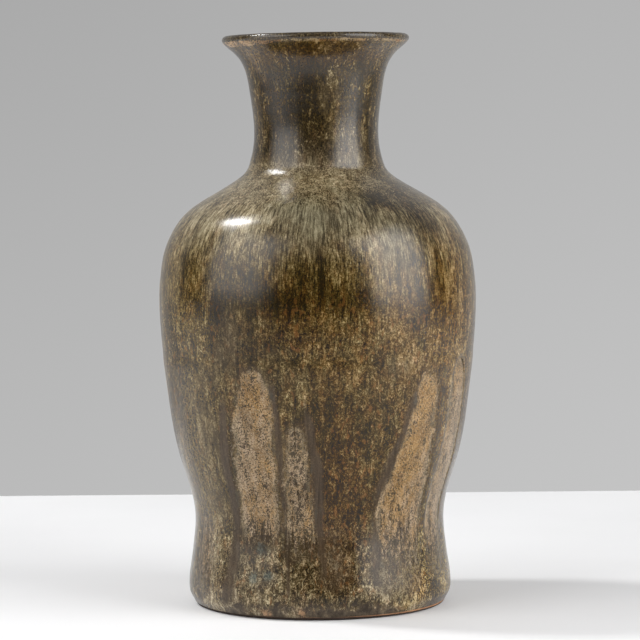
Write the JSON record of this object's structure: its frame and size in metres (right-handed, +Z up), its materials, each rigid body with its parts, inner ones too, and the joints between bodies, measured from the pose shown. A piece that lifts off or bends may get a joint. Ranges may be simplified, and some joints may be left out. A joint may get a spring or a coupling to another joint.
{
  "type": "stoneware vase",
  "caption": "Baluster-shaped stoneware flower vase with a flared neck, a rounded lip and iron glazes that run down over a lighter coat.",
  "frame": {"origin": "centre of the resting face, under the foot ring", "axes": "+Z up along the vase's axis, -Y towards the front as pictured, +X to the viewer's right"},
  "size_m": [0.2232, 0.2232, 0.3999],
  "materials": {
    "bare_clay": "matte, unglazed, toasted orange-brown by the kiln",
    "body_clay": "matte fired stoneware under the glazes",
    "fired_slip": "matte fired slip in the joints between the thrown sections",
    "first_glaze": "speckled tan satin glaze",
    "poured_glaze": "glossy streaked iron glaze, olive-brown to ochre with dark runs",
    "liner_glaze": "dark brown gloss glaze inside"
  },
  "bodies": {
    "root": {"foot_ring": "bare_clay", "foot_seam": "fired_slip", "lower_body": "body_clay", "belly_seam": "fired_slip", "upper_body": "body_clay", "neck_seam": "fired_slip", "neck": "body_clay", "first_glaze": "first_glaze", "poured_glaze": "poured_glaze", "liner_glaze": "liner_glaze"}
  },
  "joints": []
}
